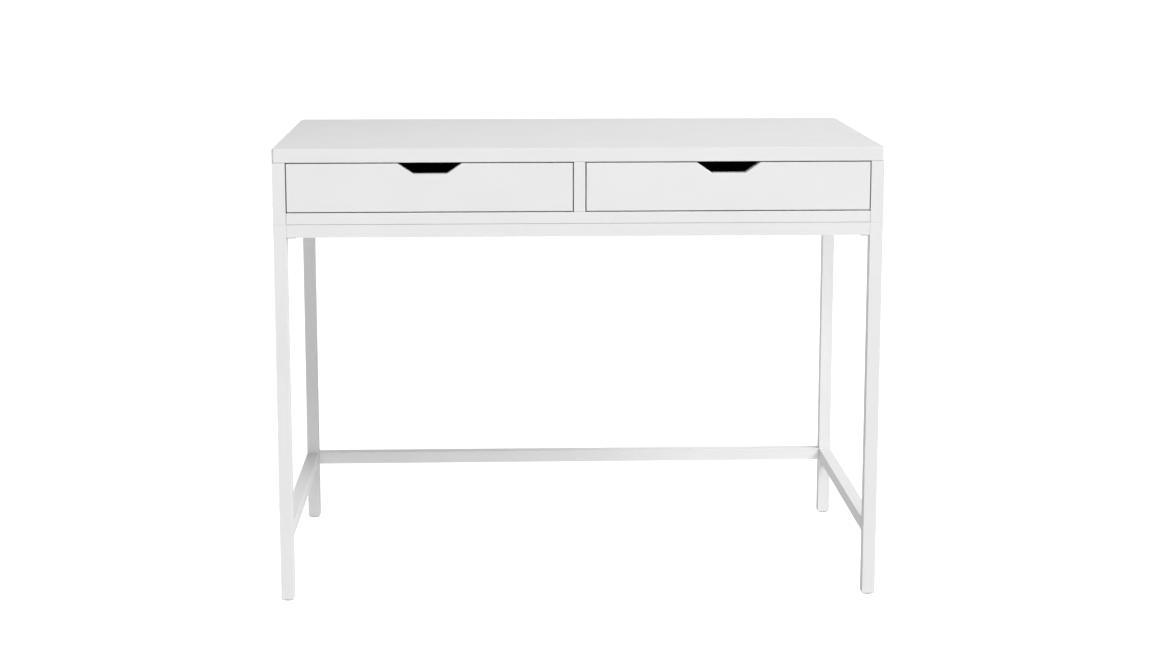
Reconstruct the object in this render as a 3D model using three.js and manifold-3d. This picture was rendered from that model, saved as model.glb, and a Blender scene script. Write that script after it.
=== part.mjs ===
// Writing desk with two inset drawers: a painted case on a slim four-legged base.
// Millimetres, +Z up. The origin is on the floor, under the middle of the desk.
// The drawer fronts face -Y, +X is to the right of someone sitting at the desk.

import * as THREE from 'three';
import { mergeVertices } from 'three/addons/utils/BufferGeometryUtils.js';
import Module from 'manifold-3d';

// ---------------------------------------------------------------- driving sizes

const deskWidth = 1000;
const deskDepth = 520;
const deskHeight = 762;

// Case: the box under the writing surface that holds the drawers.
const topThickness = 23;
const topCornerRadius = 4;
const caseSideThickness = 21;
const caseBottomThickness = 19;
const caseBackThickness = 15;
const dividerThickness = 19;
const openingHeight = 82.5;

// Base: four square legs, four rails under the case and three low stretchers.
const legSize = 21.5;
const legFootChamfer = 1.2;
const railHeight = 21;
const stretcherHeight = 21.5;
const stretcherTop = 128;
const glideHeight = 2;
const glideRadius = 8.5;
const glideRim = 0.5;
const glideStemRadius = 2;
const glideStemLength = 16;

// Drawers: an inset front closes a box of two sides, a back and a bottom.
const frontThickness = 19;
const frontGap = 1.75;
const notchTopWidth = 105;
const notchBottomWidth = 55;
const notchDepth = 17.5;
const boxSideThickness = 12;
const boxLift = 7.5;
const boxHeadroom = 15;
const boxBottomThickness = 6;
const grooveDepth = 6;
const grooveLift = 10;

// Three-member ball-bearing drawer slides on the sides of the box. They are made in
// lengths 50 mm apart, and the longest that leaves rearSpace behind it is used.
const slideLengthStep = 50;
const rearSpace = 20;
const slideThickness = 12.5;
const slideHeight = 35;
const slideGauge = 1.25;
const ballSpace = 3;

// Cam locks that pull the long rails and the rear stretcher against the legs.
const camRadius = 7.5;
const camCap = 1.7;
const camSetback = 24;
const camSlotWidth = 1.5;
const camSlotLength = 9;
const camSlotDepth = 1.5;
const camBoltRadius = 3;
const camBoltThread = 11;
const camBoltCollarRadius = 3.5;
const camBoltCollar = 2;
const camBoltNeckRadius = 2.25;
const camBoltNeck = 4;
const camBoltHead = 3;

// Wood screws that hold the case down on the side rails.
const screwLength = 42;
const screwRadius = 2.1;
const screwHeadRadius = 4;
const screwHeadHeight = 2.5;
const screwInset = 75;

// Clearances.
const seam = 0.25;
const grooveFit = 0.25;
const holeFit = 0.3;
const threadRoom = 1;

// How far a cut runs past the face that it opens, and the sides of a round piece.
const overshoot = 1;
const roundSegments = 16;
const cornerSegments = 6;

// Pieces are made for the left-hand side, and turned half round for the right.
const sides = [
  { side: 'left', sign: -1, turn: 0 },
  { side: 'right', sign: 1, turn: Math.PI },
];

// ---------------------------------------------------------------- derived places

const halfWidth = deskWidth / 2;
const openingTop = deskHeight - topThickness;
const openingBottom = openingTop - openingHeight;
const caseFloor = openingBottom - caseBottomThickness;
const caseInnerHalf = halfWidth - caseSideThickness;
const baseTop = caseFloor - seam;
const railBottom = baseTop - railHeight;
const stretcherBottom = stretcherTop - stretcherHeight;
const legBottom = glideHeight + seam;
const legCentreX = halfWidth - legSize / 2;
const legCentreY = legSize / 2;
const betweenLegsX = deskWidth - 2 * (legSize + seam);
const betweenLegsY = deskDepth - 2 * (legSize + seam);
const screwPlaces = [screwInset, deskDepth - screwInset];

const bayWidth = caseInnerHalf - dividerThickness / 2;
const bayCentreX = (caseInnerHalf + dividerThickness / 2) / 2;
const frontWidth = bayWidth - 2 * frontGap;
const frontBottom = openingBottom + frontGap;
const frontHeight = openingHeight - 2 * frontGap;
const boxWidth = bayWidth - 2 * (slideThickness + 2 * seam);
const boxInnerWidth = boxWidth - 2 * boxSideThickness;
const boxBottom = openingBottom + boxLift;
const boxHeight = openingHeight - boxLift - boxHeadroom;
const boxStart = frontThickness + seam;
const grooveBottom = boxBottom + grooveLift;
const grooveHeight = boxBottomThickness + 2 * grooveFit;

const slideRoom = deskDepth - caseBackThickness - rearSpace - frontThickness;
const slideLength = slideLengthStep * Math.floor(slideRoom / slideLengthStep);
const slideCentreZ = boxBottom + boxHeight / 2;
const outerFlange = slideThickness - ballSpace;
const middleFlange = slideThickness - ballSpace - slideGauge;
const innerFlange = slideThickness - 2 * ballSpace;

// ---------------------------------------------------------------- finishes

const whitePaint = new THREE.MeshStandardMaterial({ color: 0xe9e9ea, roughness: 0.42, metalness: 0 });
const birchPly = new THREE.MeshStandardMaterial({ color: 0xcdb38c, roughness: 0.5, metalness: 0 });
const zincSteel = new THREE.MeshStandardMaterial({ color: 0xb4b8bc, roughness: 0.35, metalness: 1 });
const castZinc = new THREE.MeshStandardMaterial({ color: 0xa3a6a8, roughness: 0.5, metalness: 1 });
const whiteNylon = new THREE.MeshStandardMaterial({ color: 0xdededc, roughness: 0.55, metalness: 0 });

// ---------------------------------------------------------------- solids

const wasm = await Module();
wasm.setup();

function toSolid(geometry) {
  const bare = geometry.clone();
  bare.deleteAttribute('normal');
  bare.deleteAttribute('uv');
  const welded = mergeVertices(bare);
  const vertProperties = new Float32Array(welded.attributes.position.array);
  const triVerts = new Uint32Array(welded.index.array);
  return new wasm.Manifold(new wasm.Mesh({ numProp: 3, vertProperties, triVerts }));
}

function toGeometry(solid) {
  const mesh = solid.getMesh();
  const geometry = new THREE.BufferGeometry();
  geometry.setAttribute('position', new THREE.BufferAttribute(mesh.vertProperties, 3));
  geometry.setIndex(new THREE.BufferAttribute(mesh.triVerts, 1));
  geometry.computeVertexNormals();
  return geometry;
}

function cut(blank, tools) {
  let solid = toSolid(blank);
  for (const tool of tools) {
    solid = solid.subtract(toSolid(tool));
  }
  return toGeometry(solid);
}

// A rectangular board with its low corner at x, y, z.
function board(width, depth, height, x = 0, y = 0, z = 0) {
  const geometry = new THREE.BoxGeometry(width, depth, height);
  return geometry.translate(x + width / 2, y + depth / 2, z + height / 2);
}

// A turned piece along +Z, from [radius, z] pairs that start and end on the axis.
function turned(profile) {
  const points = profile.map(([radius, z]) => new THREE.Vector2(radius, z));
  return new THREE.LatheGeometry(points, roundSegments).rotateX(Math.PI / 2);
}

function rod(radius, length) {
  return turned([[0, 0], [radius, 0], [radius, length], [0, length]]);
}

const rodAlongX = (radius, length) => rod(radius, length).rotateY(Math.PI / 2);

// An outline in X and Z, extruded along +Y from the plane y = 0.
function extrudedAlongY(outline, length) {
  const shape = new THREE.Shape(outline.map(([x, z]) => new THREE.Vector2(x, z)));
  const geometry = new THREE.ExtrudeGeometry(shape, { depth: length, bevelEnabled: false });
  return geometry.rotateX(Math.PI / 2).translate(0, length, 0);
}

// A slab with its low corner at the origin and its four upright corners rounded.
function roundedSlab(width, depth, height, radius) {
  const shape = new THREE.Shape();
  shape.moveTo(radius, 0);
  shape.absarc(width - radius, radius, radius, -Math.PI / 2, 0);
  shape.absarc(width - radius, depth - radius, radius, 0, Math.PI / 2);
  shape.absarc(radius, depth - radius, radius, Math.PI / 2, Math.PI);
  shape.absarc(radius, radius, radius, Math.PI, 1.5 * Math.PI);
  const options = { depth: height, bevelEnabled: false, curveSegments: cornerSegments };
  return new THREE.ExtrudeGeometry(shape, options);
}

function piece(name, geometry, material, x, y, z, turn = 0) {
  const mesh = new THREE.Mesh(geometry, material);
  mesh.name = name;
  mesh.position.set(x, y, z);
  mesh.rotation.z = turn;
  return mesh;
}

// ---------------------------------------------------------------- fasteners

// A cam bolt along +X: its thread is in the leg at x < 0, its head is in the cam.
function camBolt() {
  const headEnd = camSetback + camBoltHead / 2;
  const neckEnd = headEnd - camBoltHead;
  const neckStart = neckEnd - camBoltNeck;
  return turned([
    [0, -camBoltThread],
    [camBoltRadius, -camBoltThread],
    [camBoltRadius, seam],
    [camBoltCollarRadius, seam],
    [camBoltCollarRadius, seam + camBoltCollar],
    [camBoltRadius, seam + camBoltCollar],
    [camBoltRadius, neckStart],
    [camBoltNeckRadius, neckStart],
    [camBoltNeckRadius, neckEnd],
    [camBoltRadius, neckEnd],
    [camBoltRadius, headEnd],
    [0, headEnd],
  ]).rotateY(Math.PI / 2);
}

// The height of a cam's drum: it closes over the head of a bolt at boltHeight.
const camDrum = (boltHeight) => boltHeight + camBoltRadius + holeFit + camCap;

// A cam lock, driven from below: a drum with a mouth towards -X for the bolt's head.
function camLock(boltHeight) {
  const mouth = 2 * (camBoltRadius + holeFit);
  const mouthLength = camRadius + camBoltHead + holeFit;
  const mouthCut = board(mouthLength, mouth, mouth, -camRadius, -mouth / 2, boltHeight - mouth / 2);
  const slots = [
    board(camSlotLength, camSlotWidth, camSlotDepth, -camSlotLength / 2, -camSlotWidth / 2, 0),
    board(camSlotWidth, camSlotLength, camSlotDepth, -camSlotWidth / 2, -camSlotLength / 2, 0),
  ];
  return cut(rod(camRadius, camDrum(boltHeight)), [mouthCut, ...slots]);
}

// The hole in a leg for the thread of a cam bolt, at height z on its +X face.
const camThreadHole = (z) => rodAlongX(camBoltRadius + holeFit, camBoltThread + threadRoom + overshoot)
  .translate(legSize / 2 - camBoltThread - threadRoom, 0, z);

// The bolt hole and the drum pocket at the -X end of a rail, its end at x = 0.
function camHoles(boltHeight) {
  const pocket = rod(camRadius + holeFit, camDrum(boltHeight) + holeFit).translate(camSetback, 0, 0);
  const hole = rodAlongX(camBoltCollarRadius + holeFit, camSetback).translate(0, 0, boltHeight);
  return [pocket, hole];
}

// A countersunk wood screw pointing up, its flat head at z = 0; grow widens it to a hole.
function woodScrew(grow = 0) {
  return turned([
    [0, 0],
    [screwHeadRadius + grow, 0],
    [screwRadius + grow, screwHeadHeight + grow],
    [screwRadius + grow, screwLength - 2 * screwRadius + grow],
    [0, screwLength + grow],
  ]);
}

// ---------------------------------------------------------------- base

// A glide: a low nylon foot with a rounded rim and a stem that is driven into the leg.
function glide() {
  return turned([
    [0, 0],
    [glideRadius - glideRim, 0],
    [glideRadius, glideRim],
    [glideRadius, glideHeight],
    [glideStemRadius, glideHeight],
    [glideStemRadius, glideHeight + glideStemLength],
    [0, glideHeight + glideStemLength],
  ]);
}

// A square bar on the Z axis, chamfered all round at its foot.
function chamferedBar(size, bottom, top, chamfer) {
  const profile = [
    [0, bottom],
    [size / 2 - chamfer, bottom],
    [size / 2, bottom + chamfer],
    [size / 2, top],
    [0, top],
  ];
  const points = profile.map(([half, z]) => new THREE.Vector2(half * Math.SQRT2, z));
  return new THREE.LatheGeometry(points, 4).rotateX(Math.PI / 2).rotateZ(Math.PI / 4);
}

// A leg on its own axis, its +X face towards the rails, with cam bolts at given heights.
function leg(boltHeights) {
  const blank = chamferedBar(legSize, legBottom, baseTop, legFootChamfer);
  const stemHole = rod(glideStemRadius + holeFit, glideStemLength + glideHeight + holeFit);
  return cut(blank, [stemHole, ...boltHeights.map(camThreadHole)]);
}

// A rail along X between two legs, with cam holes at both ends.
function longRail(height) {
  const blank = board(betweenLegsX, legSize, height, 0, -legSize / 2, 0);
  const nearEnd = camHoles(height / 2);
  const farEnd = camHoles(height / 2).map((hole) => hole.rotateZ(Math.PI).translate(betweenLegsX, 0, 0));
  return cut(blank, [...nearEnd, ...farEnd]);
}

// A rail along Y under a case side, with the holes of its two screws.
function sideRail() {
  const holes = screwPlaces.map((y) => woodScrew(holeFit).translate(0, y - legSize - seam, 0));
  return cut(board(legSize, betweenLegsY, railHeight, -legSize / 2, 0, 0), holes);
}

function buildBase() {
  const base = new THREE.Group();
  const railBolt = railBottom + railHeight / 2;
  const stretcherBolt = stretcherBottom + stretcherHeight / 2;
  const rows = [
    { end: 'front', y: legCentreY, boltHeights: [railBolt] },
    { end: 'rear', y: deskDepth - legCentreY, boltHeights: [railBolt, stretcherBolt] },
  ];
  const longRails = [
    { name: 'front_rail', y: legCentreY, z: railBottom, height: railHeight },
    { name: 'rear_rail', y: deskDepth - legCentreY, z: railBottom, height: railHeight },
    { name: 'rear_stretcher', y: deskDepth - legCentreY, z: stretcherBottom, height: stretcherHeight },
  ];

  for (const { side, sign, turn } of sides) {
    const x = sign * legCentreX;
    const legFaceX = sign * (halfWidth - legSize);
    const camX = sign * (betweenLegsX / 2 - camSetback);
    for (const { end, y, boltHeights } of rows) {
      base.add(piece(`leg_${end}_${side}`, leg(boltHeights), whitePaint, x, y, 0, turn));
      base.add(piece(`foot_glide_${end}_${side}`, glide(), whiteNylon, x, y, 0));
    }
    for (const { name, y, z, height } of longRails) {
      base.add(piece(`cam_bolt_${name}_${side}`, camBolt(), zincSteel, legFaceX, y, z + height / 2, turn));
      base.add(piece(`cam_lock_${name}_${side}`, camLock(height / 2), castZinc, camX, y, z, turn));
    }
    base.add(piece(`side_rail_${side}`, sideRail(), whitePaint, x, legSize + seam, railBottom));
    const stretcher = board(legSize, betweenLegsY, stretcherHeight, -legSize / 2, 0, 0);
    base.add(piece(`side_stretcher_${side}`, stretcher, whitePaint, x, legSize + seam, stretcherBottom));
    for (const [index, end] of ['front', 'rear'].entries()) {
      base.add(piece(`case_screw_${end}_${side}`, woodScrew(), zincSteel, x, screwPlaces[index], railBottom));
    }
  }
  for (const { name, y, z, height } of longRails) {
    base.add(piece(name, longRail(height), whitePaint, -betweenLegsX / 2, y, z));
  }
  return base;
}

// ---------------------------------------------------------------- case

// A case side on the leg's centre line, with the blind holes of its two screws.
function caseSide(sign) {
  const height = openingTop - seam - caseFloor;
  const innerX = legSize / 2 - caseSideThickness;
  const x = sign < 0 ? -legSize / 2 : innerX;
  const holes = screwPlaces.map((y) => woodScrew(holeFit).translate(0, y, railBottom - caseFloor));
  return cut(board(caseSideThickness, deskDepth, height, x, 0, 0), holes);
}

function buildCase() {
  const deskCase = new THREE.Group();
  const innerWidth = 2 * (caseInnerHalf - seam);
  const innerHeight = openingHeight - 2 * seam;
  const dividerDepth = deskDepth - caseBackThickness - seam;
  const innerBottom = openingBottom + seam;

  const top = roundedSlab(deskWidth, deskDepth, topThickness, topCornerRadius);
  deskCase.add(piece('top_panel', top, whitePaint, -halfWidth, 0, openingTop));
  deskCase.add(piece('case_side_left', caseSide(-1), whitePaint, -legCentreX, 0, caseFloor));
  deskCase.add(piece('case_side_right', caseSide(1), whitePaint, legCentreX, 0, caseFloor));
  const bottom = board(innerWidth, deskDepth, caseBottomThickness);
  deskCase.add(piece('case_bottom', bottom, whitePaint, -innerWidth / 2, 0, caseFloor));
  const back = board(innerWidth, caseBackThickness, innerHeight);
  const backY = deskDepth - caseBackThickness;
  deskCase.add(piece('case_back', back, whitePaint, -innerWidth / 2, backY, innerBottom));
  const divider = board(dividerThickness, dividerDepth, innerHeight);
  deskCase.add(piece('centre_divider', divider, whitePaint, -dividerThickness / 2, 0, innerBottom));
  return deskCase;
}

// ---------------------------------------------------------------- drawers

// The inset front, centred on x = 0: a finger notch above, the bottom's groove behind.
function drawerFront() {
  const half = frontWidth / 2;
  const notchFloor = frontHeight - notchDepth;
  const outline = [
    [-half, 0],
    [half, 0],
    [half, frontHeight],
    [notchTopWidth / 2, frontHeight],
    [notchBottomWidth / 2, notchFloor],
    [-notchBottomWidth / 2, notchFloor],
    [-notchTopWidth / 2, frontHeight],
    [-half, frontHeight],
  ];
  const grooveWidth = boxInnerWidth + 2 * grooveDepth;
  const grooveZ = grooveBottom - frontBottom;
  const grooveY = frontThickness - grooveDepth;
  const cutDepth = grooveDepth + overshoot;
  const groove = board(grooveWidth, cutDepth, grooveHeight, -grooveWidth / 2, grooveY, grooveZ);
  return cut(extrudedAlongY(outline, frontThickness), [groove]);
}

// A side of the box: its inner face is at x = 0, towards +X, and the groove runs in it.
function drawerSide() {
  const length = slideLength - seam;
  const blank = board(boxSideThickness, length, boxHeight, -boxSideThickness, 0, 0);
  const cutDepth = grooveDepth + overshoot;
  const cutLength = length + 2 * overshoot;
  return cut(blank, [board(cutDepth, cutLength, grooveHeight, -grooveDepth, -overshoot, grooveLift)]);
}

function drawerBack() {
  const width = boxInnerWidth - 2 * seam;
  const blank = board(width, boxSideThickness, boxHeight, -width / 2, 0, 0);
  const cutWidth = width + 2 * overshoot;
  const cutDepth = grooveDepth + overshoot;
  return cut(blank, [board(cutWidth, cutDepth, grooveHeight, -cutWidth / 2, -overshoot, grooveLift)]);
}

function drawerBottom() {
  const reach = grooveDepth - grooveFit;
  const width = boxInnerWidth + 2 * reach;
  const startY = frontThickness - reach;
  const endY = frontThickness + slideLength - boxSideThickness + reach;
  return board(width, endY - startY, boxBottomThickness, -width / 2, startY, 0);
}

// A channel along +Y, centred on z = 0: its web starts at x = 0, its flanges point to +X.
function channel(height, flange) {
  const half = height / 2;
  const inner = half - slideGauge;
  const outline = [
    [0, -half],
    [flange, -half],
    [flange, -inner],
    [slideGauge, -inner],
    [slideGauge, inner],
    [flange, inner],
    [flange, half],
    [0, half],
  ];
  return extrudedAlongY(outline, slideLength - seam).translate(0, -(slideLength - seam) / 2, 0);
}

// The three members of one slide, from the case wall at x = 0 towards the box at +X.
function buildSlide(name) {
  const slide = new THREE.Group();
  const step = 2 * (slideGauge + ballSpace);
  const middleHeight = slideHeight - step;
  const innerHeight = middleHeight - step;
  const outer = channel(slideHeight, outerFlange);
  const middle = channel(middleHeight, middleFlange);
  const inner = channel(innerHeight, innerFlange);
  slide.add(piece(`${name}_outer`, outer, zincSteel, seam, 0, 0));
  slide.add(piece(`${name}_middle`, middle, zincSteel, seam + ballSpace, 0, 0));
  slide.add(piece(`${name}_inner`, inner, zincSteel, seam + slideThickness, 0, 0, Math.PI));
  return slide;
}

function buildDrawer(name, centreX) {
  const drawer = new THREE.Group();
  drawer.position.x = centreX;
  const backY = frontThickness + slideLength - boxSideThickness;
  drawer.add(piece(`${name}_front`, drawerFront(), whitePaint, 0, 0, frontBottom));
  drawer.add(piece(`${name}_back`, drawerBack(), birchPly, 0, backY, boxBottom));
  drawer.add(piece(`${name}_bottom`, drawerBottom(), birchPly, 0, 0, grooveBottom + grooveFit));

  for (const { side, turn } of sides) {
    const half = new THREE.Group();
    half.position.set(0, boxStart + (slideLength - seam) / 2, 0);
    half.rotation.z = turn;
    const sideX = -boxInnerWidth / 2;
    const startY = -(slideLength - seam) / 2;
    half.add(piece(`${name}_side_${side}`, drawerSide(), birchPly, sideX, startY, boxBottom));
    const slide = buildSlide(`${name}_slide_${side}`);
    slide.position.set(-bayWidth / 2, 0, slideCentreZ);
    half.add(slide);
    drawer.add(half);
  }
  return drawer;
}

// ---------------------------------------------------------------- assembly

const desk = new THREE.Group();
desk.name = 'writing_desk';
desk.add(buildBase());
desk.add(buildCase());
desk.add(buildDrawer('left_drawer', -bayCentreX));
desk.add(buildDrawer('right_drawer', bayCentreX));
desk.position.y = -deskDepth / 2;
desk.updateMatrixWorld(true);

export default desk;
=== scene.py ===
"""Looks of the writing desk: painted case and base, birch drawer boxes, steel slides.

Everything is in metres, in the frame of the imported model: +X to the right of someone
sitting at the desk, -Y the way the drawers open, +Z up, and the floor at z = 0.
"""

import math

import bpy
import bmesh
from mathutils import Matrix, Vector


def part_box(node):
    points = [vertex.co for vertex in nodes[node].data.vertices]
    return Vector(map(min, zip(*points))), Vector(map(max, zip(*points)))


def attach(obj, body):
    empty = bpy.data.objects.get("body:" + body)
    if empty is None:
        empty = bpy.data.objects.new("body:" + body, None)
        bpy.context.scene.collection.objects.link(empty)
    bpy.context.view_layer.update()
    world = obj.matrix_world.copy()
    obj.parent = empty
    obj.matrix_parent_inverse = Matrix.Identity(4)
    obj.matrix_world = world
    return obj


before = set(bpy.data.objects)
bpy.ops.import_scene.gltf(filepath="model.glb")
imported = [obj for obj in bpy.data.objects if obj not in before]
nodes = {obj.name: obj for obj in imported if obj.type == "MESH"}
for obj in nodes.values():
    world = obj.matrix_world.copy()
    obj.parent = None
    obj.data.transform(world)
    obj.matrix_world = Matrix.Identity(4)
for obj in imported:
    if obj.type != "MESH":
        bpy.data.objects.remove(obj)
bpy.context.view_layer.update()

MM = 0.001
SIDES = ("left", "right")


# ---------------------------------------------------------------- node helpers


def new_material(name):
    material = bpy.data.materials.new(name)
    material.use_nodes = True
    tree = material.node_tree
    tree.nodes.clear()
    output = tree.nodes.new("ShaderNodeOutputMaterial")
    shader = tree.nodes.new("ShaderNodeBsdfPrincipled")
    tree.links.new(shader.outputs["BSDF"], output.inputs["Surface"])
    return material, tree, shader


def node(tree, kind, inputs=None, **settings):
    made = tree.nodes.new(kind)
    for key, value in settings.items():
        setattr(made, key, value)
    for key, value in (inputs or {}).items():
        if isinstance(value, bpy.types.NodeSocket):
            tree.links.new(value, made.inputs[key])
        else:
            made.inputs[key].default_value = value
    return made


def stretched(tree, scale):
    """The piece's own coordinates, in metres, times a scale along each axis."""
    coordinates = node(tree, "ShaderNodeTexCoord")
    inputs = {"Vector": coordinates.outputs["Object"], "Scale": scale}
    mapping = node(tree, "ShaderNodeMapping", inputs)
    return mapping.outputs["Vector"]


def noise(tree, scale, detail=3.0, roughness=0.5, distortion=0.0):
    """Noise with features about 1 / scale metres across; scale may differ by axis."""
    if not isinstance(scale, tuple):
        scale = (scale, scale, scale)
    inputs = {
        "Vector": stretched(tree, scale),
        "Scale": 1.0,
        "Detail": detail,
        "Roughness": roughness,
        "Distortion": distortion,
    }
    return node(tree, "ShaderNodeTexNoise", inputs).outputs["Fac"]


def remap(tree, value, low, high, start=0.3, end=0.7):
    inputs = {"Value": value, "From Min": start, "From Max": end, "To Min": low, "To Max": high}
    return node(tree, "ShaderNodeMapRange", inputs).outputs["Result"]


def mix_colour(tree, factor, first, second):
    made = node(tree, "ShaderNodeMix", data_type="RGBA")
    for index, value in ((0, factor), (6, first), (7, second)):
        if isinstance(value, bpy.types.NodeSocket):
            tree.links.new(value, made.inputs[index])
        else:
            made.inputs[index].default_value = value
    return made.outputs[2]


def math_node(tree, operation, first, second=0.0):
    made = node(tree, "ShaderNodeMath", {0: first, 1: second}, operation=operation)
    return made.outputs["Value"]


def bump(tree, height, distance, normal=None, strength=1.0):
    inputs = {"Height": height, "Distance": distance, "Strength": strength}
    if normal is not None:
        inputs["Normal"] = normal
    return node(tree, "ShaderNodeBump", inputs).outputs["Normal"]


def edge_mask(tree, radius):
    """Near 1 on the arrises of a piece, 0 on its flats."""
    rounded = node(tree, "ShaderNodeBevel", {"Radius": radius}, samples=4)
    plain = node(tree, "ShaderNodeNewGeometry")
    agree = node(
        tree,
        "ShaderNodeVectorMath",
        {0: rounded.outputs["Normal"], 1: plain.outputs["Normal"]},
        operation="DOT_PRODUCT",
    )
    return remap(tree, agree.outputs["Value"], 1.0, 0.0, start=0.8, end=0.995)


def grey(level, tint=0.0):
    return (level, level, level + tint, 1.0)


# ---------------------------------------------------------------- materials

# How far from an arris the paint is painted lighter, as rubbed wear and as a painted highlight on
# the arris.
WEAR_AND_HIGHLIGHT_REACH = 1.6 * MM

# Plywood: the target thickness of a ply, the depth from a face within which the outer ply's
# colour is kept, and the depth from which a glue line can show.
PLY = 2.8 * MM
PLY_SKIN = 0.03 * MM
GLUE_START = 0.2 * MM

BIRCH_DARK = (0.68, 0.50, 0.31, 1)
BIRCH_LIGHT = (0.80, 0.65, 0.45, 1)
BIRCH_RING = (0.60, 0.42, 0.25, 1)
BIRCH_FIBRE = (0.52, 0.35, 0.20, 1)
CORE_DARK = (0.46, 0.31, 0.17, 1)
CORE_LIGHT = (0.62, 0.46, 0.29, 1)
GLUE = (0.24, 0.14, 0.07, 1)


def satin_paint(name, grain):
    """White satin paint. grain is the noise scale along X, Y and Z of the board under it."""
    material, tree, shader = new_material(name)
    cloud = remap(tree, noise(tree, 9.0, detail=4.0), 0.0, 1.0)
    speckle = remap(tree, noise(tree, 420.0, detail=2.0), 0.0, 1.0)
    body = mix_colour(tree, cloud, grey(0.780, 0.006), grey(0.806, 0.002))
    body = mix_colour(tree, math_node(tree, "MULTIPLY", speckle, 0.25), body, grey(0.77, 0.004))
    patches = remap(tree, noise(tree, 60.0), 0.25, 0.8)
    # Lighter paint along the arrises: partly rubbed wear, partly a painted highlight where the edge
    # catches the light.
    wear_and_highlight = math_node(tree, "MULTIPLY", edge_mask(tree, WEAR_AND_HIGHLIGHT_REACH), patches)
    colour = mix_colour(tree, wear_and_highlight, body, grey(0.872, -0.004))
    tree.links.new(colour, shader.inputs["Base Color"])

    fibre = noise(tree, grain, detail=5.0, roughness=0.6)
    smears = remap(tree, noise(tree, 35.0), 0.36, 0.44)
    sheen = math_node(tree, "ADD", smears, remap(tree, fibre, -0.02, 0.03))
    tree.links.new(sheen, shader.inputs["Roughness"])
    peel = bump(tree, noise(tree, 800.0, detail=1.5), 0.012 * MM)
    tree.links.new(bump(tree, fibre, 0.02 * MM, normal=peel), shader.inputs["Normal"])
    shader.inputs["Specular IOR Level"].default_value = 0.45
    return material


def birch_ply(name, across, along, board):
    """Birch plywood: plies stacked on axis across, face grain along axis along."""
    material, tree, shader = new_material(name)
    thickness = board[1][across] - board[0][across]
    plies = 2 * int(thickness / PLY) + 1
    coordinates = node(tree, "ShaderNodeTexCoord").outputs["Object"]
    parts = node(tree, "ShaderNodeSeparateXYZ", {"Vector": coordinates})
    depth = math_node(tree, "SUBTRACT", parts.outputs[across], board[0][across])
    depth = math_node(tree, "MAXIMUM", depth, PLY_SKIN)
    depth = math_node(tree, "MINIMUM", depth, thickness - PLY_SKIN)
    level = math_node(tree, "MULTIPLY", depth, plies / thickness)
    crossed = math_node(tree, "MODULO", math_node(tree, "FLOOR", level), 2.0)
    off_middle = math_node(tree, "SUBTRACT", math_node(tree, "FRACT", level), 0.5)
    off_middle = math_node(tree, "ABSOLUTE", off_middle)
    other_depth = math_node(tree, "SUBTRACT", thickness, depth)
    nearest_face = math_node(tree, "MINIMUM", depth, other_depth)
    inside = math_node(tree, "GREATER_THAN", nearest_face, GLUE_START)
    glue_line = remap(tree, off_middle, 0.0, 0.6, start=0.42, end=0.5)
    glue = math_node(tree, "MULTIPLY", glue_line, inside)

    long_way = [300.0, 300.0, 300.0]
    long_way[along] = 9.0
    figure_way = [26.0, 26.0, 26.0]
    figure_way[along] = 2.4
    fibre = noise(tree, tuple(long_way), detail=5.0, roughness=0.65)
    figure = noise(tree, tuple(figure_way), detail=4.0, roughness=0.6, distortion=0.8)
    rings = math_node(tree, "FRACT", math_node(tree, "MULTIPLY", figure, 9.0))
    ring_line = remap(tree, rings, 0.0, 0.5, start=0.55, end=1.0)
    pores = noise(tree, 420.0, detail=3.0, roughness=0.7)

    face = mix_colour(tree, remap(tree, figure, 0.0, 1.0), BIRCH_DARK, BIRCH_LIGHT)
    face = mix_colour(tree, ring_line, face, BIRCH_RING)
    streaks = remap(tree, fibre, 0.0, 0.5, start=0.5, end=0.8)
    face = mix_colour(tree, streaks, face, BIRCH_FIBRE)
    core = mix_colour(tree, remap(tree, pores, 0.0, 1.0), CORE_DARK, CORE_LIGHT)
    colour = mix_colour(tree, crossed, face, core)
    colour = mix_colour(tree, glue, colour, GLUE)
    tree.links.new(colour, shader.inputs["Base Color"])
    tree.links.new(remap(tree, fibre, 0.38, 0.55), shader.inputs["Roughness"])
    tree.links.new(bump(tree, fibre, 0.05 * MM), shader.inputs["Normal"])
    shader.inputs["Specular IOR Level"].default_value = 0.4
    return material


def rolled_steel(name, colour, low, high):
    """Zinc-plated strip, rolled along Y: fine streaks, faint cloudy plating."""
    material, tree, shader = new_material(name)
    streak = noise(tree, (900.0, 14.0, 900.0), detail=4.0, roughness=0.6)
    cloud = noise(tree, 70.0, detail=3.0)
    darker = tuple(0.8 * part for part in colour[:3]) + (1.0,)
    plating = mix_colour(tree, remap(tree, cloud, 0.0, 1.0), colour, darker)
    tree.links.new(plating, shader.inputs["Base Color"])
    tree.links.new(remap(tree, streak, low, high), shader.inputs["Roughness"])
    tree.links.new(bump(tree, streak, 0.01 * MM), shader.inputs["Normal"])
    shader.inputs["Metallic"].default_value = 1.0
    return material


def cast_zinc(name):
    material, tree, shader = new_material(name)
    grain = noise(tree, 1500.0, detail=3.0)
    stain = noise(tree, 160.0, detail=3.0)
    colour = mix_colour(tree, remap(tree, stain, 0.0, 1.0), grey(0.46, 0.01), grey(0.60, 0.01))
    tree.links.new(colour, shader.inputs["Base Color"])
    tree.links.new(remap(tree, grain, 0.42, 0.62), shader.inputs["Roughness"])
    tree.links.new(bump(tree, grain, 0.03 * MM), shader.inputs["Normal"])
    shader.inputs["Metallic"].default_value = 1.0
    return material


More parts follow.
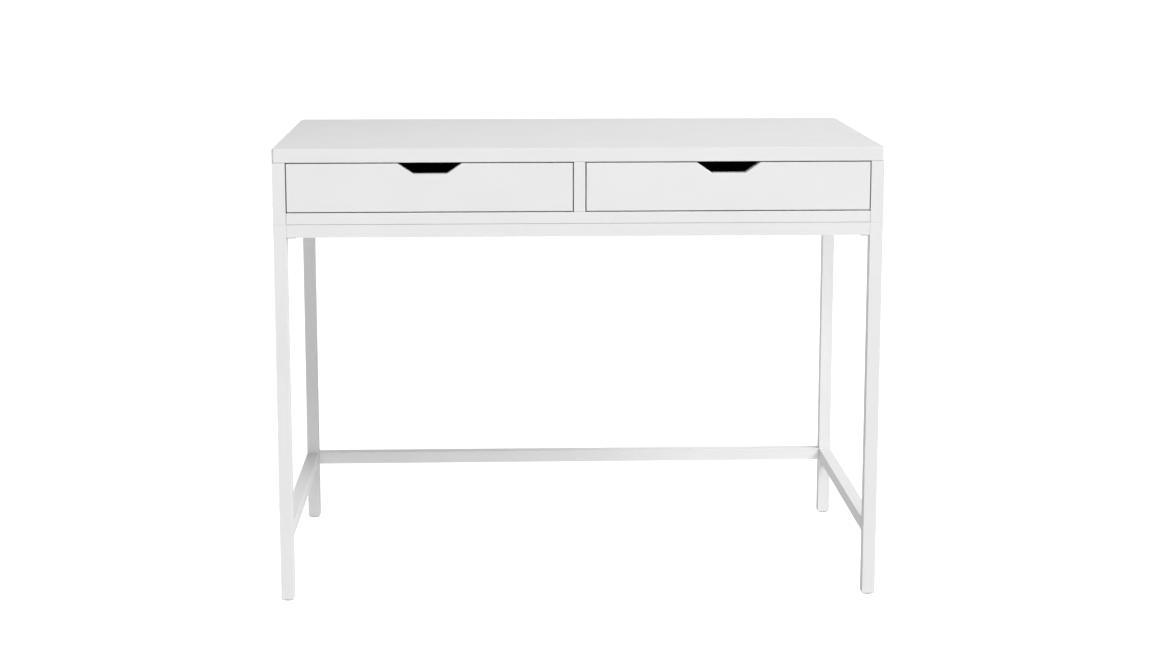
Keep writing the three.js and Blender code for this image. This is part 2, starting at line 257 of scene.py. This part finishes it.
def moulded_plastic(name, light, dark, roughness):
    material, tree, shader = new_material(name)
    grain = noise(tree, 1100.0, detail=2.0)
    scuff = noise(tree, 90.0, detail=4.0)
    scuffed = mix_colour(tree, remap(tree, scuff, 0.0, 1.0), light, dark)
    tree.links.new(scuffed, shader.inputs["Base Color"])
    spread = remap(tree, scuff, roughness - 0.06, roughness + 0.08)
    tree.links.new(spread, shader.inputs["Roughness"])
    tree.links.new(bump(tree, grain, 0.02 * MM), shader.inputs["Normal"])
    return material


PAINT = {
    "x": satin_paint("white_paint_grain_x", (9.0, 420.0, 420.0)),
    "y": satin_paint("white_paint_grain_y", (420.0, 9.0, 420.0)),
    "z": satin_paint("white_paint_grain_z", (420.0, 420.0, 9.0)),
}
SLIDE_STEEL = rolled_steel("slide_steel", (0.66, 0.68, 0.70, 1.0), 0.24, 0.38)
SCREW_STEEL = rolled_steel("screw_steel", (0.62, 0.63, 0.65, 1.0), 0.28, 0.42)
CAM_ZINC = cast_zinc("cam_zinc")
NYLON = moulded_plastic("glide_nylon", grey(0.80), grey(0.72, -0.01), 0.5)


# ---------------------------------------------------------------- CAD nodes


def ease(piece, arris, segments):
    """Rounds the edges of a piece to radius arris, with its flats kept flat."""
    weld = piece.modifiers.new("weld", "WELD")
    weld.merge_threshold = 0.01 * MM
    flats = piece.modifiers.new("flats", "DECIMATE")
    flats.decimate_type = "DISSOLVE"
    flats.angle_limit = math.radians(1.0)
    easing = piece.modifiers.new("easing", "BEVEL")
    easing.width = arris
    easing.segments = segments
    easing.limit_method = "ANGLE"
    easing.angle_limit = math.radians(35.0)
    easing.harden_normals = True
    easing.use_clamp_overlap = True
    clean = piece.modifiers.new("clean", "WELD")
    clean.merge_threshold = 0.005 * MM


def dress(name, material, arris=0.0, segments=3):
    """Gives a CAD node its material, and eased edges."""
    piece = nodes[name]
    piece.data.materials.clear()
    piece.data.materials.append(material)
    if arris:
        ease(piece, arris, segments)


def ply_board(name, across, along, arris):
    dress(name, birch_ply(name + "_ply", across, along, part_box(name)), arris)


for name in ("top_panel", "case_bottom", "case_back", "front_rail", "rear_rail", "rear_stretcher"):
    dress(name, PAINT["x"], 1.2 * MM)
dress("centre_divider", PAINT["y"], 0.8 * MM)
for side in SIDES:
    dress(f"case_side_{side}", PAINT["y"], 1.0 * MM)
    dress(f"side_rail_{side}", PAINT["y"], 1.0 * MM)
    dress(f"side_stretcher_{side}", PAINT["y"], 1.0 * MM)
    for end in ("front", "rear"):
        dress(f"leg_{end}_{side}", PAINT["z"], 1.2 * MM)
        dress(f"foot_glide_{end}_{side}", NYLON, 0.3 * MM)
        dress(f"case_screw_{end}_{side}", SCREW_STEEL)
    for rail in ("front_rail", "rear_rail", "rear_stretcher"):
        dress(f"cam_bolt_{rail}_{side}", SCREW_STEEL)
        dress(f"cam_lock_{rail}_{side}", CAM_ZINC, 0.25 * MM, segments=2)
    drawer = f"{side}_drawer"
    dress(f"{drawer}_front", PAINT["x"], 0.9 * MM)
    ply_board(f"{drawer}_back", 1, 0, 0.6 * MM)
    ply_board(f"{drawer}_bottom", 2, 1, 0.3 * MM)
    for hand in SIDES:
        ply_board(f"{drawer}_side_{hand}", 0, 1, 0.6 * MM)
        for member in ("outer", "middle", "inner"):
            dress(f"{drawer}_slide_{hand}_{member}", SLIDE_STEEL, 0.3 * MM, segments=2)


# ---------------------------------------------------------------- extra pieces

SLIDE_GAUGE = 1.25 * MM
BALL_PITCH = 7.0 * MM
BALLS_IN_CAGE = 14
CAGE_CLEAR = 36.0 * MM
SCREW_SIDES = 24


def mesh_piece(name, build, material, body, arris=0.0):
    """A piece that the CAD model leaves out: build draws it in a new bmesh."""
    shape = bmesh.new()
    build(shape)
    bmesh.ops.recalc_face_normals(shape, faces=shape.faces)
    mesh = bpy.data.meshes.new(name)
    shape.to_mesh(mesh)
    shape.free()
    mesh.materials.append(material)
    piece = bpy.data.objects.new(name, mesh)
    bpy.context.scene.collection.objects.link(piece)
    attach(piece, body)
    if arris:
        ease(piece, arris, 2)
    return piece


def add_loop(shape, turn, outline, height):
    return [shape.verts.new(turn @ Vector((x, y, height))) for x, y in outline]


def join_loops(shape, first, second):
    count = len(first)
    for i in range(count):
        j = (i + 1) % count
        shape.faces.new((first[i], first[j], second[j], second[i]))


def add_screw_head(shape, place, outward, radius, height):
    """A domed head with a cross recess; its underside is at place."""
    turn = Vector(outward).to_track_quat("Z", "Y").to_matrix().to_4x4()
    turn.translation = Vector(place)
    steps = [math.tau * i / SCREW_SIDES for i in range(SCREW_SIDES)]
    profile = ((1.0, 0.0), (1.0, 0.3), (0.94, 0.6), (0.82, 0.85), (0.64, 1.0))
    rings = []
    for reach, level in profile:
        outline = [(reach * radius * math.cos(a), reach * radius * math.sin(a)) for a in steps]
        rings.append(add_loop(shape, turn, outline, level * height))
    for lower, upper in zip(rings, rings[1:]):
        join_loops(shape, lower, upper)
    shape.faces.new(list(reversed(rings[0])))

    arm, half = 0.5 * radius, 0.12 * radius
    quarter = [(half, half), (half, arm), (-half, arm)]
    cross = []
    for _ in range(4):
        cross += quarter
        quarter = [(-y, x) for x, y in quarter]
    rim = add_loop(shape, turn, cross, height)
    deep = add_loop(shape, turn, [(0.75 * x, 0.75 * y) for x, y in cross], 0.25 * height)
    join_loops(shape, rim, deep)
    shape.faces.new(deep)
    edges = []
    for loop in (rings[-1], rim):
        for i, vertex in enumerate(loop):
            following = loop[(i + 1) % len(loop)]
            ends = (vertex, following)
            edges.append(shape.edges.get(ends) or shape.edges.new(ends))
    bmesh.ops.triangle_fill(shape, use_beauty=True, use_dissolve=False, edges=edges)


def add_block(shape, low, high):
    corners = [Vector((x, y, z)) for z in (low[2], high[2]) for x, y in
               ((low[0], low[1]), (high[0], low[1]), (high[0], high[1]), (low[0], high[1]))]
    verts = [shape.verts.new(corner) for corner in corners]
    join_loops(shape, verts[:4], verts[4:])
    shape.faces.new(verts[:4])
    shape.faces.new(verts[4:])


def add_ball(shape, centre, radius):
    made = bmesh.ops.create_uvsphere(shape, u_segments=10, v_segments=6, radius=radius)
    bmesh.ops.translate(shape, vec=Vector(centre), verts=made["verts"])


def ball_cage(name, larger, smaller, start_y, body):
    """Two rows of balls, above and below the smaller member, each in a pressed strip."""
    low_x = max(larger[0].x, smaller[0].x)
    high_x = min(larger[1].x, smaller[1].x)
    centre_x = (low_x + high_x) / 2
    half_width = min(2.0 * MM, (high_x - low_x) / 2 - 0.3 * MM)
    gap = larger[1].z - SLIDE_GAUGE - smaller[1].z
    levels = (smaller[1].z + gap / 2, smaller[0].z - gap / 2)
    ball_radius = gap / 2 - 0.05 * MM
    length = (BALLS_IN_CAGE + 1) * BALL_PITCH

    def build(shape):
        for level in levels:
            low = (centre_x - half_width, start_y, level - 0.3 * MM)
            add_block(shape, low, (centre_x + half_width, start_y + length, level + 0.3 * MM))
            for i in range(BALLS_IN_CAGE):
                add_ball(shape, (centre_x, start_y + (i + 1) * BALL_PITCH, level), ball_radius)

    cage = mesh_piece(name, build, SLIDE_STEEL, body)
    for face in cage.data.polygons:
        face.use_smooth = face.area < 2.0 * MM * MM


def slide_hardware(side, hand):
    name = f"{side}_drawer_slide_{hand}"
    outer, middle, inner = (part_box(f"{name}_{member}") for member in ("outer", "middle", "inner"))
    inwards = 1.0 if hand == "left" else -1.0
    centre_y = (middle[0].y + middle[1].y) / 2
    length = (BALLS_IN_CAGE + 1) * BALL_PITCH
    body = f"{side}_slide_middles"
    ball_cage(f"{name}_cage_outer", outer, middle, centre_y + CAGE_CLEAR, body)
    ball_cage(f"{name}_cage_inner", middle, inner, centre_y - CAGE_CLEAR - length, body)

    web_x = (inner[1].x if hand == "left" else inner[0].x) - inwards * SLIDE_GAUGE
    centre_z = (inner[0].z + inner[1].z) / 2

    def screws(shape):
        for share in (0.08, 0.45, 0.88):
            place = (web_x, inner[0].y + share * (inner[1].y - inner[0].y), centre_z)
            add_screw_head(shape, place, (-inwards, 0.0, 0.0), 3.6 * MM, 1.7 * MM)

    mesh_piece(f"{name}_screws", screws, SCREW_STEEL, f"{side}_drawer")


def corner_bracket(side, hand):
    """The steel angle that ties the front to one side of the box, with its four screws."""
    inwards = 1.0 if hand == "left" else -1.0
    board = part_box(f"{side}_drawer_side_{hand}")
    corner_x = (board[1].x if hand == "left" else board[0].x) + inwards * 0.1 * MM
    corner_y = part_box(f"{side}_drawer_front")[1].y + 0.1 * MM
    low_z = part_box(f"{side}_drawer_bottom")[1].z + 9.0 * MM
    high_z = low_z + 26.0 * MM
    reach, gauge, bend = 24.0 * MM, 1.6 * MM, 2.0 * MM
    screw_reach, head_radius, head_height = 16.0 * MM, 3.3 * MM, 1.3 * MM

    outline = [(0.0, 0.0), (reach, 0.0), (reach, gauge), (gauge + bend, gauge)]
    outline += [
        (gauge + bend - bend * math.sin(a), gauge + bend - bend * math.cos(a))
        for a in (math.radians(30), math.radians(60))
    ]
    outline += [(gauge, gauge + bend), (gauge, reach), (0.0, reach)]

    def angle(shape):
        loops = [
            [shape.verts.new((corner_x + inwards * x, corner_y + y, level)) for x, y in outline]
            for level in (low_z, high_z)
        ]
        join_loops(shape, *loops)
        for loop in loops:
            shape.faces.new(loop)

    def screws(shape):
        for level in (low_z + 7.0 * MM, high_z - 7.0 * MM):
            place = (corner_x + inwards * screw_reach, corner_y + gauge, level)
            add_screw_head(shape, place, (0.0, 1.0, 0.0), head_radius, head_height)
            place = (corner_x + inwards * gauge, corner_y + screw_reach, level)
            add_screw_head(shape, place, (inwards, 0.0, 0.0), head_radius, head_height)

    body = f"{side}_drawer"
    mesh_piece(f"{body}_bracket_{hand}", angle, SCREW_STEEL, body, 0.4 * MM)
    mesh_piece(f"{body}_bracket_screws_{hand}", screws, SCREW_STEEL, body)


def rail_plate(hand):
    """The small flat plate under the front rail, against the leg."""
    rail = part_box("front_rail")
    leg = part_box(f"leg_front_{hand}")
    inwards = 1.0 if hand == "left" else -1.0
    start_x = (leg[1].x if hand == "left" else leg[0].x) + inwards * 0.3 * MM
    length, thickness, margin = 15.0 * MM, 1.2 * MM, 1.0 * MM
    end_x = start_x + inwards * length
    high_z = rail[0].z - 0.1 * MM
    low = (min(start_x, end_x), rail[0].y + margin, high_z - thickness)
    high = (max(start_x, end_x), rail[1].y - margin, high_z)

    def plate(shape):
        add_block(shape, low, high)

    def screw(shape):
        place = ((low[0] + high[0]) / 2, (low[1] + high[1]) / 2, low[2])
        add_screw_head(shape, place, (0.0, 0.0, -1.0), 3.0 * MM, 0.9 * MM)

    name = f"rail_plate_{hand}"
    mesh_piece(name, plate, CAM_ZINC, "desk_frame", 0.3 * MM)
    mesh_piece(f"{name}_screw", screw, SCREW_STEEL, "desk_frame")


def back_screws():
    """The screws through the back panel into the end of the centre divider."""
    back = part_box("case_back")
    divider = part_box("centre_divider")

    def build(shape):
        for share in (0.22, 0.78):
            place = (
                (divider[0].x + divider[1].x) / 2,
                back[1].y - 0.1 * MM,
                back[0].z + share * (back[1].z - back[0].z),
            )
            add_screw_head(shape, place, (0.0, 1.0, 0.0), 3.6 * MM, 0.9 * MM)

    mesh_piece("back_panel_screws", build, SCREW_STEEL, "desk_frame")


for side in SIDES:
    rail_plate(side)
    for hand in SIDES:
        slide_hardware(side, hand)
        corner_bracket(side, hand)
back_screws()


# ---------------------------------------------------------------- stage

# The floor and the sky look plain white to the camera, whatever light they throw on the desk.
WHITE_SEEN = 1.02
FLOOR_LIGHT = 0.48
FLOOR_TINT = 0.30
FLOOR_SIZE = 60.0
SKY_LIGHT = 0.01

# Lights stand far off, so that the desk is lit evenly from end to end.
LIGHT_DISTANCE = 18.0
LIGHT_AIM = Vector((0.0, 0.0, 0.4))

# The key is an arc of three softboxes round the front right, the middle one the strongest.
KEY_WATTS = 1600.0
KEY_SIDE_SHARE = 0.5
KEY_TURN = 50.0
KEY_SPREAD = 25.0
KEY_RISE = 40.0
KEY_SIZE = 6.0
# The fill stands low, just left of the front.
FILL_WATTS = 750.0
FILL_TURN = -10.0
FILL_RISE = 20.0
FILL_SIZE = 7.0
# A wide strip behind the desk lights the back of its legs.
BACKDROP_WATTS = 90.0
BACKDROP_PLACE = (0.0, 3.2, 2.0)
BACKDROP_AIM = (0.0, 0.0, 0.7)
BACKDROP_WIDTH = 8.0
BACKDROP_HEIGHT = 3.6

# The camera stands in front, a little left of the middle, and looks slightly down and right.
CAMERA_PLACE = (-0.1245, -3.636, 1.120)
CAMERA_DOWN = 9.0
CAMERA_RIGHT = 2.04
CAMERA_LENS = 65.0
CAMERA_SENSOR = 36.0
CAMERA_SHIFT = -0.06


def make_floor():
    bpy.ops.mesh.primitive_plane_add(size=FLOOR_SIZE, location=(0.0, 0.0, 0.0))
    floor = bpy.context.object
    floor.name = "studio_floor"
    material, tree, shader = new_material("studio_floor")
    mottle = mix_colour(tree, noise(tree, 3.0), grey(FLOOR_TINT), grey(FLOOR_TINT + 0.01))
    tree.links.new(mottle, shader.inputs["Base Color"])
    path = node(tree, "ShaderNodeLightPath")
    glow = remap(tree, path.outputs["Is Camera Ray"], FLOOR_LIGHT, WHITE_SEEN, start=0.0, end=1.0)
    tree.links.new(glow, shader.inputs["Emission Strength"])
    shader.inputs["Emission Color"].default_value = grey(1.0)
    shader.inputs["Roughness"].default_value = 0.9
    shader.inputs["Specular IOR Level"].default_value = 0.0
    floor.data.materials.append(material)


def make_world():
    """White behind the desk, and almost no light from it."""
    world = bpy.data.worlds.new("studio")
    bpy.context.scene.world = world
    world.use_nodes = True
    tree = world.node_tree
    tree.nodes.clear()
    output = tree.nodes.new("ShaderNodeOutputWorld")
    seen = node(tree, "ShaderNodeBackground", {"Color": grey(1.0), "Strength": WHITE_SEEN})
    felt = node(tree, "ShaderNodeBackground", {"Color": grey(1.0), "Strength": SKY_LIGHT})
    path = node(tree, "ShaderNodeLightPath")
    blend = node(tree, "ShaderNodeMixShader", {0: path.outputs["Is Camera Ray"]})
    tree.links.new(felt.outputs["Background"], blend.inputs[1])
    tree.links.new(seen.outputs["Background"], blend.inputs[2])
    tree.links.new(blend.outputs["Shader"], output.inputs["Surface"])


def softbox(name, place, aim, width, height, power):
    data = bpy.data.lights.new(name, "AREA")
    data.shape = "RECTANGLE"
    data.size = width
    data.size_y = height
    data.energy = power
    light = bpy.data.objects.new(name, data)
    light.location = place
    light.rotation_euler = (Vector(aim) - Vector(place)).to_track_quat("-Z", "Y").to_euler()
    light.visible_camera = False
    bpy.context.scene.collection.objects.link(light)


def far_softbox(name, turn, rise, size, power):
    """A square softbox aimed at the desk, turn degrees right of its front and rise degrees up."""
    right, up = math.radians(turn), math.radians(rise)
    way = Vector((math.sin(right) * math.cos(up), -math.cos(right) * math.cos(up), math.sin(up)))
    softbox(name, LIGHT_AIM + LIGHT_DISTANCE * way, LIGHT_AIM, size, size, power)


def make_lights():
    far_softbox("key", KEY_TURN, KEY_RISE, KEY_SIZE, KEY_WATTS)
    for name, step in (("key_near_side", -1.0), ("key_far_side", 1.0)):
        turn = KEY_TURN + step * KEY_SPREAD
        far_softbox(name, turn, KEY_RISE, KEY_SIZE, KEY_SIDE_SHARE * KEY_WATTS)
    far_softbox("fill", FILL_TURN, FILL_RISE, FILL_SIZE, FILL_WATTS)
    backdrop = (BACKDROP_PLACE, BACKDROP_AIM, BACKDROP_WIDTH, BACKDROP_HEIGHT, BACKDROP_WATTS)
    softbox("backdrop", *backdrop)


def make_camera():
    data = bpy.data.cameras.new("camera")
    data.lens = CAMERA_LENS
    data.sensor_width = CAMERA_SENSOR
    data.shift_y = CAMERA_SHIFT
    camera = bpy.data.objects.new("camera", data)
    camera.location = CAMERA_PLACE
    look_down = math.radians(CAMERA_DOWN)
    look_right = math.radians(CAMERA_RIGHT)
    camera.rotation_euler = (math.pi / 2 - look_down, 0.0, -look_right)
    bpy.context.scene.collection.objects.link(camera)
    bpy.context.scene.camera = camera


make_floor()
make_world()
make_lights()
make_camera()
bpy.context.scene.view_settings.view_transform = "Standard"
